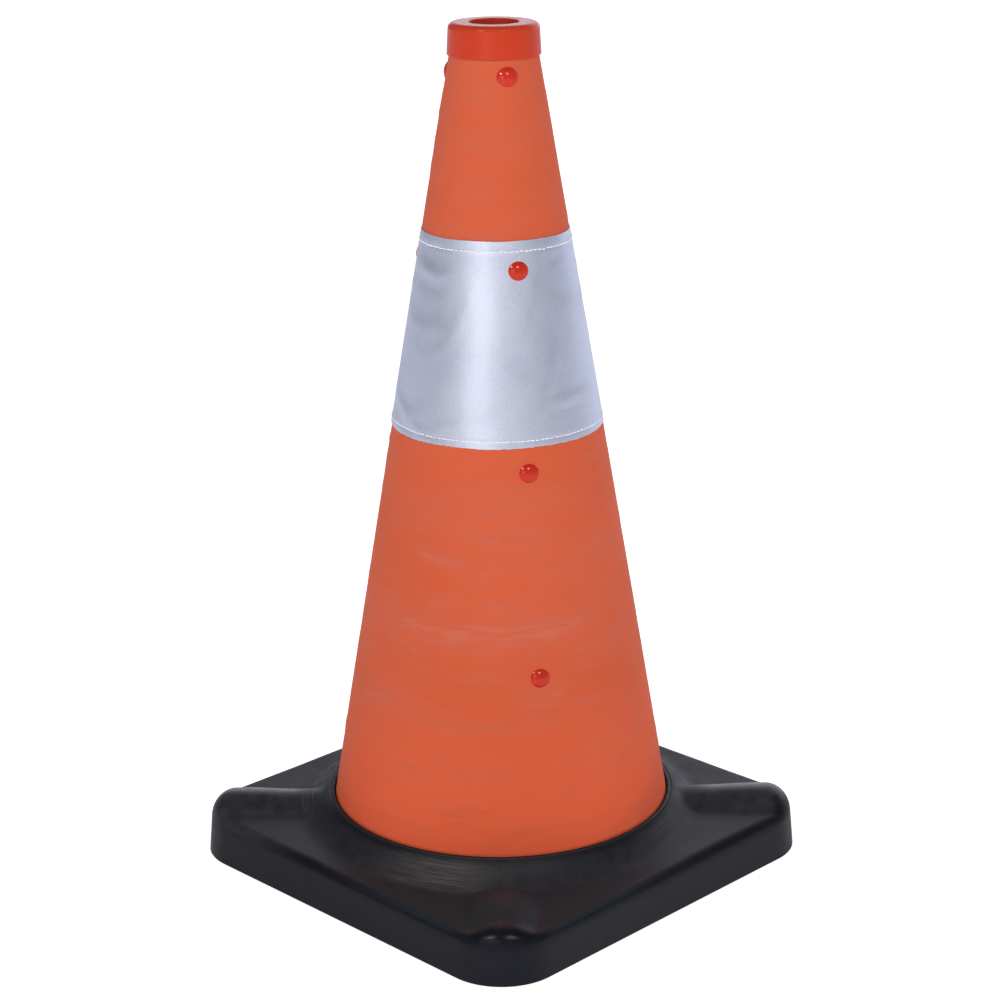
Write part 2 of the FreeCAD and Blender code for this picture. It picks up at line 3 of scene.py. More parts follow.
import bpy
import numpy as np
from mathutils import Matrix, Vector

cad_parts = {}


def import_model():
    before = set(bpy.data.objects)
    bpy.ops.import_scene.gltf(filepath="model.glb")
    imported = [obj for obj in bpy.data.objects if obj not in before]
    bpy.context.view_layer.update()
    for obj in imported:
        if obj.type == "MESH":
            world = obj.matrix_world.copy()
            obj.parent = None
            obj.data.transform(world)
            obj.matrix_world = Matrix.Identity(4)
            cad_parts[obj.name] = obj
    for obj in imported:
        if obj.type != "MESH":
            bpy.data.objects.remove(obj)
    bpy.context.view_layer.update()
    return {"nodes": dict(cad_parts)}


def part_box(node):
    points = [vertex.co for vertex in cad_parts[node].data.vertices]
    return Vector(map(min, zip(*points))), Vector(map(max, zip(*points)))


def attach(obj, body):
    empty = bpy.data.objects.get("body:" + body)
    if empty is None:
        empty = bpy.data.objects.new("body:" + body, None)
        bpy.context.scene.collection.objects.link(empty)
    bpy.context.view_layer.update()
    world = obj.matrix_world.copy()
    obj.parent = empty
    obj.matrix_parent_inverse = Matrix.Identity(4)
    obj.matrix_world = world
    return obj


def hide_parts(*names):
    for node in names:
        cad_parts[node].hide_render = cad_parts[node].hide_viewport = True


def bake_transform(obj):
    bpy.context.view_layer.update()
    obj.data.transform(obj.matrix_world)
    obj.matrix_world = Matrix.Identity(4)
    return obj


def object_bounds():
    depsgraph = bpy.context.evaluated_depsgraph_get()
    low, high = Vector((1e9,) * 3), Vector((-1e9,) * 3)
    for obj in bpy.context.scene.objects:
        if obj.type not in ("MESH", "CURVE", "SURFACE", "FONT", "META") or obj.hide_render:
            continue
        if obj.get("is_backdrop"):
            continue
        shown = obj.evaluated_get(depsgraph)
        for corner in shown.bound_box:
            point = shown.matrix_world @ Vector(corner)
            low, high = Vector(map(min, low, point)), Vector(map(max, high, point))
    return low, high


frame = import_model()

# Looks of a telescopic traffic cone. Metres, +Z up. The camera stands at azimuth FRONT.

MM = 0.001
TAU = 2 * math.pi
FRONT = math.radians(-45)
SEAM = FRONT + math.pi
RIVET_AZIMUTHS = [math.radians(-29 + 120 * k) for k in range(3)]


# ---- sizes read from the frame ----

def foot_of(node):
    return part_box(node)[0].z


def top_of(node):
    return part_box(node)[1].z


def radius_at_foot(node):
    """Outer radius of a node's lowest ring of vertices."""
    mesh = frame["nodes"][node].data
    points = np.array([v.co for v in mesh.vertices])
    near = points[:, 2] < points[:, 2].min() + 0.1 * MM
    return float(np.hypot(points[near, 0], points[near, 1]).max())


PANELS = ("lower", "lower_mid", "upper_mid", "top")
RIMS = [top_of(f"sleeve_{name}") for name in PANELS]
SLEEVE_FOOT = foot_of("sleeve_lower")
FOOT_RADIUS = radius_at_foot("sleeve_lower")
TAPER = (FOOT_RADIUS - radius_at_foot("sleeve_top")) / (RIMS[2] - SLEEVE_FOOT)
TILT = math.atan(TAPER)
BAND_FOOT, BAND_TOP = foot_of("band_lower"), top_of("band_upper")
ROWS = [(foot_of(f"rivets_{n}") + top_of(f"rivets_{n}")) / 2 for n in PANELS]
STITCH_ROWS = [(foot_of(n) + top_of(n)) / 2 for n in ("stitches_bottom", "stitches_top")]
COLLAR_RIM = top_of("rubber_base")
BASE_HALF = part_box("rubber_base")[1].x
CAP_FOOT = foot_of("cap")
CLOTH = 0.8 * MM
BAND_CLOTH = 0.5 * MM


def cone_radius(z):
    """Outer radius of the smooth sleeve at height z."""
    return FOOT_RADIUS - TAPER * (z - SLEEVE_FOOT)


def smooth(x, low, high):
    t = np.clip((x - low) / (high - low), 0, 1)
    return t * t * (3 - 2 * t)


def turn_between(a, b):
    """Angle from b to a, from minus half a turn to half a turn."""
    return (a - b + math.pi) % TAU - math.pi


# ---- meshes ----

def new_mesh(name, points, faces, material, corner_uv=None, values=None, sharp=38):
    """A smooth-shaded mesh object, with its flat pattern as UV and per-point values."""
    mesh = bpy.data.meshes.new(name)
    mesh.from_pydata(np.asarray(points, float).tolist(), [], [tuple(f) for f in faces])
    if corner_uv is not None:
        layer = mesh.uv_layers.new(name="flat")
        layer.data.foreach_set("uv", np.asarray(corner_uv, np.float32).ravel())
    for key, value in (values or {}).items():
        attribute = mesh.attributes.new(key, "FLOAT", "POINT")
        attribute.data.foreach_set("value", np.asarray(value, np.float32).ravel())
    mesh.materials.append(material)
    mesh.shade_smooth()
    mesh.set_sharp_from_angle(angle=math.radians(sharp))
    piece = bpy.data.objects.new(name, mesh)
    bpy.context.scene.collection.objects.link(piece)
    return piece


def grid_quads(rows, columns, closed_rows=False):
    """Quads of a grid whose columns run right round, facing out when rows go up."""
    last = rows if closed_rows else rows - 1
    row = np.arange(last)[:, None]
    above = (row + 1) % rows
    column = np.arange(columns)[None, :]
    after = (column + 1) % columns
    corners = (row * columns + column, row * columns + after,
               above * columns + after, above * columns + column)
    return np.stack(corners, -1).reshape(-1, 4)


def grid_corner_uv(uv, closed_rows=False):
    """UV at each quad's corners, from (rows, columns + 1, 2) values."""
    if closed_rows:
        uv = np.concatenate([uv, uv[:1]])
    low, high = uv[:-1], uv[1:]
    corners = (low[:, :-1], low[:, 1:], high[:, 1:], high[:, :-1])
    return np.stack(corners, 2).reshape(-1, 2)


def rounded(corners, steps=7):
    """A closed outline of (x, y, radius) corners, each corner rounded."""
    outline = []
    for i, (x, y, radius) in enumerate(corners):
        here = np.array((x, y))
        back = np.array(corners[i - 1][:2]) - here
        ahead = np.array(corners[(i + 1) % len(corners)][:2]) - here
        back_length, ahead_length = np.linalg.norm(back), np.linalg.norm(ahead)
        back, ahead = back / back_length, ahead / ahead_length
        half = math.acos(float(np.clip(back @ ahead, -1, 1))) / 2
        reach = min(radius / math.tan(half), 0.45 * back_length, 0.45 * ahead_length)
        radius = reach * math.tan(half)
        middle = (back + ahead) / np.linalg.norm(back + ahead)
        centre = here + middle * radius / math.sin(half)
        start, end = here + back * reach, here + ahead * reach
        a0 = math.atan2(*(start - centre)[::-1])
        sweep = turn_between(math.atan2(*(end - centre)[::-1]), a0)
        outline.append(start + back * min(0.35 * reach, 0.04 * back_length))
        for k in range(steps + 1):
            a = a0 + sweep * k / steps
            outline.append(centre + radius * np.array((math.cos(a), math.sin(a))))
        outline.append(end + ahead * min(0.35 * reach, 0.04 * ahead_length))
    return outline


def turned(profile, count):
    """Points and faces of a (radius, height) profile turned about Z, with poles on the axis."""
    points, rings, faces = [], [], []
    for radius, height in profile:
        start = len(points)
        if radius < 1e-9:
            rings.append([start])
            points.append((0, 0, height))
            continue
        rings.append(range(start, start + count))
        points += [(radius * math.cos(TAU * k / count),
                    radius * math.sin(TAU * k / count), height) for k in range(count)]
    pairs = list(zip(rings, rings[1:]))
    if len(rings[0]) > 1:
        pairs.append((rings[-1], rings[0]))
    for low, high in pairs:
        for i in range(count):
            j = (i + 1) % count
            if len(low) == 1:
                faces.append((low[0], high[j], high[i]))
            elif len(high) == 1:
                faces.append((low[i], low[j], high[0]))
            else:
                faces.append((low[i], low[j], high[j], high[i]))
    return np.array(points), faces


def joined(parts):
    """Several (points, faces) as one."""
    points, faces, start = [], [], 0
    for part_points, part_faces in parts:
        points.append(part_points)
        faces += [tuple(start + k for k in face) for face in part_faces]
        start += len(part_points)
    return np.concatenate(points), faces


# ---- node materials ----

class Shader:
    """A Principled material whose constants sit on the shader's own sockets."""

    def __init__(self, name, **constants):
        self.material = bpy.data.materials.new(name)
        self.material.use_nodes = True
        self.tree = self.material.node_tree
        self.tree.nodes.clear()
        self.surface = self.node("BsdfPrincipled", {
            key.replace("_", " "): value for key, value in constants.items()})
        self.node("OutputMaterial", {"Surface": self.surface.outputs[0]})
        self.place = self.node("TexCoord").outputs["Object"]

    def node(self, kind, inputs=None, **settings):
        made = self.tree.nodes.new("ShaderNode" + kind)
        for key, value in settings.items():
            setattr(made, key, value)
        for key, value in (inputs or {}).items():
            if isinstance(value, bpy.types.NodeSocket):
                self.tree.links.new(value, made.inputs[key])
            else:
                made.inputs[key].default_value = value
        return made

    def drive(self, socket, source):
        """Link a source to one of the shader's inputs."""
        self.tree.links.new(source, self.surface.inputs[socket])

    def math(self, operation, a, b):
        return self.node("Math", {0: a, 1: b}, operation=operation).outputs[0]

    def times(self, a, b):
        return self.math("MULTIPLY", a, b)

    def span(self, value, low, high, new_low=0.0, new_high=1.0):
        """value from low..high to new_low..new_high, clamped."""
        return self.node("MapRange", {0: value, 1: low, 2: high, 3: new_low, 4: new_high},
                         interpolation_type="SMOOTHSTEP").outputs[0]

    def mix(self, factor, a, b):
        return self.node("Mix", {0: factor, 6: a, 7: b}, data_type="RGBA").outputs[2]

    def scaled(self, scale, vector=None):
        """Coordinates (the object's own unless given) stretched along each axis."""
        return self.node("Mapping", {"Vector": vector or self.place, "Scale": scale}).outputs[0]

    def noise(self, scale, detail=3.0, vector=None, roughness=0.5):
        return self.node("TexNoise", {
            "Vector": vector or self.place, "Scale": scale, "Detail": detail,
            "Roughness": roughness}).outputs[0]

    def value(self, name):
        """A per-point value of the mesh."""
        return self.node("Attribute", attribute_name=name).outputs["Fac"]

    def flat(self):
        """Place on the flat pattern, in metres."""
        return self.node("UVMap", uv_map="flat").outputs[0]

    def bump(self, height, distance, strength, normal=None):
        inputs = {"Height": height, "Distance": distance, "Strength": strength}
        if normal:
            inputs["Normal"] = normal
        return self.node("Bump", inputs).outputs[0]


def grey(value):
    return (value, value, value, 1)


FABRIC_PITCH = 1.9 * MM
BAND_PITCH = 0.7 * MM


def weave_of(shader, pitch):
    """Height of a plain weave of that thread pitch, from the flat pattern."""
    across = shader.node("SeparateXYZ", {0: shader.flat()}).outputs
    waves = [shader.math("SINE", shader.times(axis, TAU / pitch), 0.0)
             for axis in across[:2]]
    return shader.times(*waves)


def fabric_material():
    """Coated orange weave, paler along its creases and in streaky patches, with the weave showing
    there.
    """
    shader = Shader("orange_coated_fabric", Roughness=0.74, Specular_IOR_Level=0.14)
    weave = weave_of(shader, FABRIC_PITCH)
    cloudy = shader.noise(9.0, 2.0)
    streaks = shader.noise(13.0, 5.0, shader.scaled((1, 1, 4.5)), 0.65)
    lines = shader.noise(32.0, 6.0, shader.scaled((1, 1, 8)), 0.72)
    pale = shader.times(shader.value("crease"), shader.span(lines, 0.36, 0.60, 0.15, 1.0))
    patches = shader.times(shader.span(streaks, 0.50, 0.68),
                           shader.span(lines, 0.38, 0.62, 0.10, 0.70))
    # Paler along the creases and in streaky patches.
    pale_marks = shader.math("MAXIMUM", pale, patches)
    base = shader.mix(shader.span(cloudy, 0.35, 0.65),
                      (0.605, 0.098, 0.039, 1), (0.620, 0.106, 0.045, 1))
    base = shader.mix(pale_marks, base, (0.640, 0.160, 0.096, 1))
    height = shader.node("SeparateXYZ", {0: shader.place}).outputs["Z"]
    # Painted light: the cloth is lighter and redder near the foot, making up for the shade the
    # base casts there.
    base = shader.mix(shader.span(height, 0.05, 0.20, 0.7, 0.0), base, (0.82, 0.120, 0.046, 1))
    # Painted shade: the cloth is darker towards the top, where the lamps light it most.
    base = shader.mix(shader.span(height, 0.30, 0.66, 0.0, 0.3), base, (0.500, 0.092, 0.042, 1))
    threads = shader.times(shader.span(weave, -1.0, 1.0),
                           shader.span(pale_marks, 0.0, 0.5, 0.09, 0.60))
    base = shader.mix(threads, base, (0.47, 0.07, 0.03, 1))
    shader.drive("Base Color", base)
    shader.drive("Roughness", shader.span(streaks, 0.3, 0.7, 0.66, 0.80))
    grain = shader.noise(1400.0, 1.0)
    fine = shader.bump(grain, 0.04 * MM, 0.35)
    wrinkled = shader.bump(lines, 0.22 * MM, 0.30, fine)
    shader.drive("Normal", shader.bump(weave, 0.06 * MM, 0.5, wrinkled))
    return shader.material


def band_material():
    """Silver cloth of glass beads: grainy, a little smudged, with single beads that flash."""
    shader = Shader("glass_bead_cloth", Metallic=0.95, Roughness=0.54,
                    Specular_IOR_Level=0.5)
    beads = shader.noise(1150.0, 2.0)
    cloudy = shader.noise(22.0, 3.0)
    smudge = shader.noise(7.0, 4.0, shader.scaled((1, 1, 0.6)))
    base = shader.mix(shader.span(beads, 0.34, 0.66), (0.74, 0.78, 1.00, 1),
                      (0.83, 0.87, 1.00, 1))
    base = shader.mix(shader.span(cloudy, 0.42, 0.75, 0.0, 0.20), base, (0.52, 0.56, 0.78, 1))
    # Painted shade: the band is darker along its creases.
    base = shader.mix(shader.times(shader.value("crease"), 0.30), base, (0.50, 0.52, 0.66, 1))
    sparkle = shader.span(shader.noise(1100.0, 0.0), 0.70, 0.77, 0.0, 0.6)
    base = shader.mix(sparkle, base, (1.0, 1.0, 1.0, 1))
    shader.drive("Base Color", base)
    shader.drive("Roughness", shader.span(smudge, 0.3, 0.7, 0.43, 0.49))
    fine = shader.bump(beads, 0.05 * MM, 0.45)
    weave = weave_of(shader, BAND_PITCH)
    shader.drive("Normal", shader.bump(weave, 0.03 * MM, 0.3, fine))
    return shader.material


def thread_material(name, light, dark):
    """Twisted sewing thread."""
    shader = Shader(name, Roughness=0.6, Sheen_Weight=0.2, Sheen_Roughness=0.4)
    twist = shader.noise(2600.0, 1.0, shader.scaled((1, 1, 0.5)))
    shader.drive("Base Color", shader.mix(shader.span(twist, 0.35, 0.65), dark, light))
    shader.drive("Normal", shader.bump(twist, 0.08 * MM, 0.5))
    return shader.material


def plastic_material(name, light, dark, roughness, specular=0.5, grain=0.02,
                     tint=(1, 1, 1, 1)):
    """Moulded plastic: cloudy colour, fine surface waviness and faint handling marks."""
    shader = Shader(name, Roughness=roughness, Specular_IOR_Level=specular,
                    Specular_Tint=tint)
    cloudy = shader.noise(30.0, 3.0)
    marks = shader.noise(260.0, 3.0, shader.scaled((1, 1, 3)))
    shader.drive("Base Color", shader.mix(shader.span(cloudy, 0.3, 0.7), dark, light))
    shader.drive("Roughness", shader.span(marks, 0.35, 0.75, roughness, roughness + 0.10))
    shader.drive("Normal", shader.bump(marks, grain * MM, 0.5))
    return shader.material


def metal_material(name, light, dark):
    """Brushed metal."""
    shader = Shader(name, Metallic=1.0, Roughness=0.32)
    brushed = shader.noise(420.0, 3.0, shader.scaled((1, 8, 1)))
    shader.drive("Base Color", shader.mix(shader.span(brushed, 0.3, 0.7), dark, light))
    shader.drive("Roughness", shader.span(brushed, 0.3, 0.7, 0.25, 0.42))
    shader.drive("Normal", shader.bump(brushed, 0.02 * MM, 0.4))
    return shader.material


def rubber_material():
    """Moulded recycled rubber: cloudy black, fine grain, rubbed patches, pale collar lines, dust
    and painted light, a painted highlight and a painted cool reflection.
    """
    shader = Shader("moulded_rubber", Roughness=0.42, Specular_IOR_Level=0.21,
                    Specular_Tint=(0.90, 0.93, 1.0, 1))
    cloudy = shader.noise(14.0, 4.0)
    mottle = shader.noise(85.0, 4.0, roughness=0.65)
    rings = shader.noise(30.0, 5.0, shader.scaled((0.6, 42, 1), shader.flat()), 0.7)
    base = shader.mix(shader.span(cloudy, 0.3, 0.7), (0.0028, 0.0034, 0.0074, 1),
                      (0.0050, 0.0057, 0.0106, 1))
    base = shader.mix(shader.span(mottle, 0.45, 0.8, 0.0, 0.5), base,
                      (0.0088, 0.0096, 0.0150, 1))
    rub = shader.times(shader.value("rub"), shader.span(rings, 0.36, 0.6))
    for amount, colour in (
            # Dust and painted light: paler and bluish on up-facing tops, the sides and the left
            # flank.
            (shader.times(shader.value("dust_and_painted_light"), shader.span(mottle, 0.2, 0.7, 0.5, 1.0)),
             (0.036, 0.038, 0.045, 1)),
            # Painted reflection: a cool tint on the front top in place of the sleeve's orange
            # reflection.
            (shader.times(shader.value("painted_cool_reflection"), 0.7), (0.0165, 0.0260, 0.0310, 1)),
            (rub, (0.092, 0.083, 0.077, 1)),
            # Pale concentric lines on the back-left collar.
            (shader.times(shader.value("pale_collar_lines"), shader.span(rings, 0.55, 0.63)),
             (0.22, 0.22, 0.23, 1)),
            # Wear and painted highlight: paler lip and ridge tops.
            (shader.times(shader.value("wear_and_painted_highlight"), 0.5), (0.05, 0.05, 0.055, 1))):
        base = shader.mix(amount, base, colour)
    shader.drive("Base Color", base)
    dull = shader.math("ADD", shader.span(mottle, 0.3, 0.75, 0.42, 0.54), shader.times(rub, 0.12))
    shader.drive("Roughness", shader.math(
        "SUBTRACT", dull, shader.times(shader.value("polish"), 0.24)))
    grain = shader.noise(900.0, 2.0)
    fine = shader.bump(grain, 0.05 * MM, 0.4)
    coarse = shader.bump(mottle, 0.25 * MM, 0.35, fine)
    shader.drive("Normal", shader.bump(rings, 0.12 * MM, 0.12, coarse))
    return shader.material


FABRIC = fabric_material()
BAND = band_material()
WHITE_THREAD = thread_material("white_thread", (0.97, 0.97, 1.00, 1), (0.80, 0.80, 0.86, 1))
ORANGE_THREAD = thread_material("orange_thread", (0.62, 0.13, 0.06, 1), (0.40, 0.07, 0.03, 1))
RED = plastic_material("red_gloss_plastic", (0.52, 0.046, 0.018, 1), (0.49, 0.041, 0.016, 1),
                       0.20, 0.22, 0.008, (0.66, 0.44, 0.52, 1))
RIVET_RED = plastic_material("rivet_red_plastic", (0.54, 0.027, 0.011, 1),
                             (0.50, 0.023, 0.009, 1), 0.14, 0.40, 0.006, (0.9, 0.8, 0.8, 1))
SECTION = plastic_material("section_plastic", (0.66, 0.15, 0.05, 1),
                           (0.60, 0.13, 0.045, 1), 0.45)
BLACK = plastic_material("black_plastic", (0.040, 0.040, 0.042, 1),
                         (0.030, 0.030, 0.032, 1), 0.42)
STEEL = metal_material("zinc_steel", (0.66, 0.66, 0.64, 1), (0.52, 0.52, 0.50, 1))
BRASS = metal_material("turned_brass", (0.72, 0.56, 0.28, 1), (0.60, 0.46, 0.22, 1))
RUBBER = rubber_material()


# ---- the shape of the cloth ----

def wave_set(seed, count, reach, shortest, longest):
    """Slow waves round the cone: turns round, waves per metre of height, phase, height."""
    draw = np.random.default_rng(seed)
    return [(int(draw.integers(2, reach)),
             draw.uniform(-1, 1) * TAU / draw.uniform(shortest, longest),
             draw.uniform(0, TAU), draw.uniform(0.4, 1.0)) for _ in range(count)]


def wave_height(waves, theta, z):
    """Sum of the waves, of about unit size whatever their number."""
    total = sum(h * np.cos(n * theta + k * z + phase) for n, k, phase, h in waves)
    return total / math.sqrt(len(waves))


SLOW = wave_set(3, 9, 9, 0.10, 0.45)
QUICK = wave_set(5, 12, 26, 0.035, 0.12)

# Creases seen from the front: degrees right of the camera, height, half length, half width,
# slope in degrees, bow, ridge height and paleness. Lengths in mm.
FRONT_CREASES = [
    (-29, 292, 26, 5, -11, 2, 0.34, 0.8),
    (3, 307, 28, 4, -6, 1, 0.30, 0.7),
    (-25, 258, 13, 4, 14, 0, 0.28, 0.7),
    (1, 257, 15, 4, -5, 0, 0.28, 0.7),
    (-10, 231, 86, 8, 0, 8, 0.36, 0.9),
    (-22, 238, 60, 4, -4, 5, 0.26, 0.6),
    (30, 238, 32, 7, 10, 3, 0.26, 0.6),
    (16, 180, 22, 5, 0, 10, 0.34, 0.8),
    (-7, 159, 64, 3, 0, 3, 0.30, 0.6),
    (-4, 122, 16, 5, -3, 1, 0.26, 0.6),
    (-12, 93, 14, 4, 5, 1, 0.24, 0.5),
    (-20, 328, 62, 9, 3, 3, 0.26, 0.5),
    (18, 341, 40, 6, -6, 2, 0.22, 0.4),
    (35, 285, 30, 5, 24, 2, 0.22, 0.3),
    (-38, 205, 30, 4, -30, 2, 0.22, 0.3),
    (34, 132, 34, 5, 16, 2, 0.20, 0.3),
    (-40, 118, 30, 5, -14, 2, 0.22, 0.3),
    (8, 76, 22, 3, 3, 1, 0.26, 0.4),
    (-30, 72, 18, 3, -5, 1, 0.26, 0.4),
    (-14, 648, 14, 4, 8, 0, 0.18, 0.5),
    (10, 610, 20, 5, -12, 1, 0.20, 0.4),
    (-18, 575, 22, 4, 6, 1, 0.20, 0.5),
    (22, 556, 18, 3, 20, 1, 0.18, 0.3),
    (-28, 470, 26, 5, 60, 2, 0.22, 0.6),
    (24, 492, 30, 4, 72, 2, 0.20, 0.5),
    (30, 425, 34, 5, 64, 3, 0.26, 0.6),
    (-12, 404, 34, 4, 24, 2, 0.20, 0.4),
    (6, 440, 24, 4, -40, 2, 0.14, 0.3),
]


def all_creases():
    """The front creases and as many again round the rest of the cone, drawn at random."""
    draw = np.random.default_rng(11)
    rows = [(FRONT + math.radians(a), z * MM, length * MM, width * MM, math.radians(slope),
             bow * MM, height * MM, pale)
            for a, z, length, width, slope, bow, height, pale in FRONT_CREASES]
    for _ in range(72):
        z = draw.uniform(0.07, 0.665)
        side = draw.uniform(math.radians(52), TAU - math.radians(52))
        rows.append((FRONT + side, z, draw.uniform(12, 46) * MM * (0.5 + cone_radius(z) / 0.14),
                     draw.uniform(3, 8) * MM, math.radians(draw.normal(0, 18)),
                     draw.uniform(-1, 7) * MM, draw.uniform(0.14, 0.36) * MM,
                     draw.uniform(0.2, 0.9)))
    return rows


CREASES = all_creases()


def crease_field(theta, z):
    """Height and paleness of the creases at points of the sleeve."""
    height, pale = np.zeros_like(theta), np.zeros_like(theta)
    for centre, middle, length, width, slope, bow, ridge, shade in CREASES:
        along = cone_radius(middle) * turn_between(theta, centre)
        up = (z - middle) / math.cos(TILT)
        p = along * math.cos(slope) + up * math.sin(slope)
        q = up * math.cos(slope) - along * math.sin(slope)
        q = q - bow * np.clip(p / length, -1.5, 1.5) ** 2 + 0.15 * width * np.sin(9 * p / length)
        window = np.exp(-(p / length) ** 4) * (np.abs(p) < 2 * length)
        fold = np.exp(-(q / width) ** 2) - 0.6 * np.exp(-((q + 1.7 * width) / width) ** 2)
        height += ridge * window * fold
        pale += shade * window * np.exp(-(q / (1.5 * width)) ** 2)
    return height, np.clip(pale, 0, 1)


def rivet_distance(theta, z, row, azimuth):
    """Distance over the cloth to a rivet, and its part round the cone."""
    along = cone_radius(row) * turn_between(theta, azimuth)
    return np.hypot(along, (z - row) / math.cos(TILT)), along


def cloth_height(theta, z):
    """How far the cloth stands off the smooth cone, and how pale its creases are."""
    creases, pale = crease_field(theta, z)
    height = 0.20 * MM + 0.24 * MM * wave_height(SLOW, theta, z)
    height = height + 0.055 * MM * wave_height(QUICK, theta, z) + creases
    for rim in RIMS[:3]:
        height = height * (1 - 0.45 * np.exp(-((z - rim + 4 * MM) / (7 * MM)) ** 2))
    for row in ROWS:
        for azimuth in RIVET_AZIMUTHS:
            away, along = rivet_distance(theta, z, row, azimuth)
            bearing = np.arctan2(z - row, along)
            pull = np.exp(-(away / (26 * MM)) ** 2) * smooth(away, 8 * MM, 14 * MM)
            height = height * (1 - np.exp(-(away / (11 * MM)) ** 4))
            height = height + pull * 0.13 * MM * np.cos(5 * bearing + 9 * row)
    height = height * smooth(z, COLLAR_RIM + 4 * MM, COLLAR_RIM + 26 * MM)
    return height * (1 - smooth(z, CAP_FOOT - 9 * MM, CAP_FOOT - 1 * MM)), pale


SEAM_STEPS = np.array([0, 0.25, 0.6, 1.2, 3, 5, 7, 9, 10.5, 11.5, 12.5, 13.5, 15, 18, 22]) * MM
SEAM_LIFT = 0.75 * MM
COLUMNS = 330
PUCKERS_ROUND = 61


def seam_angles(z):
    """Azimuths of a row of points, close together at the sewn seam."""
    z = np.atleast_1d(z)[:, None]
    near = SEAM_STEPS[None, :] / cone_radius(z)
    rest = np.linspace(0, 1, COLUMNS + 1)[None, 1:-1]
    return SEAM + np.concatenate([near, near[:, -1:] + (TAU - near[:, -1:]) * rest], 1)


def seam_height(theta, z):
    """The step where one edge of the sleeve is sewn over the other."""
    along = ((theta - SEAM) % TAU) * cone_radius(z)
    return SEAM_LIFT * smooth(along, -0.1 * MM, 0.3 * MM) * (1 - smooth(along, 9.5 * MM, 15 * MM))


def skin(theta, z, stand_off):
    """Points at a distance outside the smooth cone, along its normal."""
    radius = cone_radius(z)
    r = radius + stand_off * math.cos(TILT)
    return np.stack([r * np.cos(theta), r * np.sin(theta), z + stand_off * math.sin(TILT)], -1)


def flat_pattern(theta, z):
    """Where a point of the sleeve lies on the flat cut cloth."""
    rho = cone_radius(z) / math.sin(TILT)
    psi = (theta - FRONT - TAU) * math.sin(TILT)
    return np.stack([rho * np.sin(psi), -rho * np.cos(psi)], -1)


def shell(name, z, thickness, height, material):
    """A closed shell on the cone: z is (rows, 1) or (rows, columns), height a function."""
    theta = seam_angles(z[:, 0] if z.ndim > 1 else z)
    z = np.broadcast_to(z if z.ndim > 1 else z[:, None], theta.shape)
    stand_off, pale = height(theta, z)
    outer = skin(theta, z, stand_off)
    inner = skin(theta, z, stand_off - thickness)
    grid = np.concatenate([outer, inner[::-1]])
    rows, columns = grid.shape[:2]
    last_theta = np.concatenate([theta, theta[:, :1] + TAU], 1)
    last_z = np.concatenate([z, z[:, :1]], 1)
    uv = flat_pattern(last_theta, last_z)
    uv = np.concatenate([uv, uv[::-1]])
    crease = np.concatenate([pale, pale[::-1]])
    return new_mesh(name, grid.reshape(-1, 3), grid_quads(rows, columns, True), material,
                    grid_corner_uv(uv, True), {"crease": crease})


def sleeve_height(theta, z):
    """The cloth's creases and waves with the step of its seam."""
    height, pale = cloth_height(theta, z)
    return height + seam_height(theta, z), pale


def band_height(theta, z):
    """The band lies on the sleeve and is drawn in a little along its stitches."""
    height, pale = cloth_height(theta, z)
    for row in STITCH_ROWS:
        away = (z - row) / math.cos(TILT)
        puckers = 0.5 + 0.5 * np.cos(theta * PUCKERS_ROUND + 300 * row)
        beside = np.exp(-((np.abs(away) - 3.2 * MM) / (2 * MM)) ** 2)
        height = height - 0.16 * MM * np.exp(-(away / (1.1 * MM)) ** 2)
        height = height + 0.10 * MM * puckers * beside
    return height + seam_height(theta, z) + BAND_CLOTH + 0.12 * MM, pale


def heights_between(low, high, pitch):
    """Evenly spaced heights, about a pitch apart."""
    return np.linspace(low, high, max(2, round((high - low) / pitch) + 1))


def sleeve_pieces():
    """The four panels of the sleeve."""
    pieces, low = {}, SLEEVE_FOOT
    for name, high in zip(PANELS, RIMS):
        piece = shell(f"fabric_{name}", heights_between(low, high, 2.6 * MM), CLOTH,
                      sleeve_height, FABRIC)
        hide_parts(f"sleeve_{name}")
        pieces[name], low = piece, high
    return pieces


def band_pieces():
    """The reflective band in two parts, split at the rim that it crosses."""
    draw = np.random.default_rng(23)
    pieces = {}
    for name, low, high in (("lower", BAND_FOOT, RIMS[2]), ("upper", RIMS[2], BAND_TOP)):
        z = heights_between(low, high, 1.5 * MM)
        columns = len(SEAM_STEPS) + COLUMNS - 1
        z = np.repeat(z[:, None], columns, 1)
        fray = draw.normal(0, 0.16, columns) * MM
        fray = fray + 0.22 * MM * np.cos(np.arange(columns) * TAU * 7 / columns)
        edge = low if name == "lower" else high
        z = z + fray[None, :] * np.exp(-np.abs(z - edge) / (1.6 * MM)) * (name == "lower" or 0.6)
        z[0 if name == "upper" else -1] = RIMS[2]
        piece = shell(f"reflective_{name}", z, BAND_CLOTH, band_height, BAND)
        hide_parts(f"band_{name}")
        pieces[name] = piece
    return pieces


# ---- stitches ----

def stitch_shape(length, radius):
    """One stitch along X, arched over the cloth with both ends going down into it."""
    steps, sides = 9, 7
    points, faces = [], []
    for i in range(steps):
        x = (i / (steps - 1) - 0.5) * length
        t = abs(2 * x / length)
        rise = radius * (0.75 - 1.9 * t ** 6)
        size = radius * (1 - 0.45 * t ** 8)
        for k in range(sides):
            a = TAU * k / sides
            points.append((x, size * math.cos(a), rise + size * 0.85 * math.sin(a)))
    for i in range(steps - 1):
        for k in range(sides):
            n = (k + 1) % sides
            faces.append((i * sides + k, (i + 1) * sides + k, (i + 1) * sides + n, i * sides + n))
    faces.append(tuple(range(sides)))
    faces.append(tuple(reversed(range((steps - 1) * sides, steps * sides))))
    return np.array(points), faces


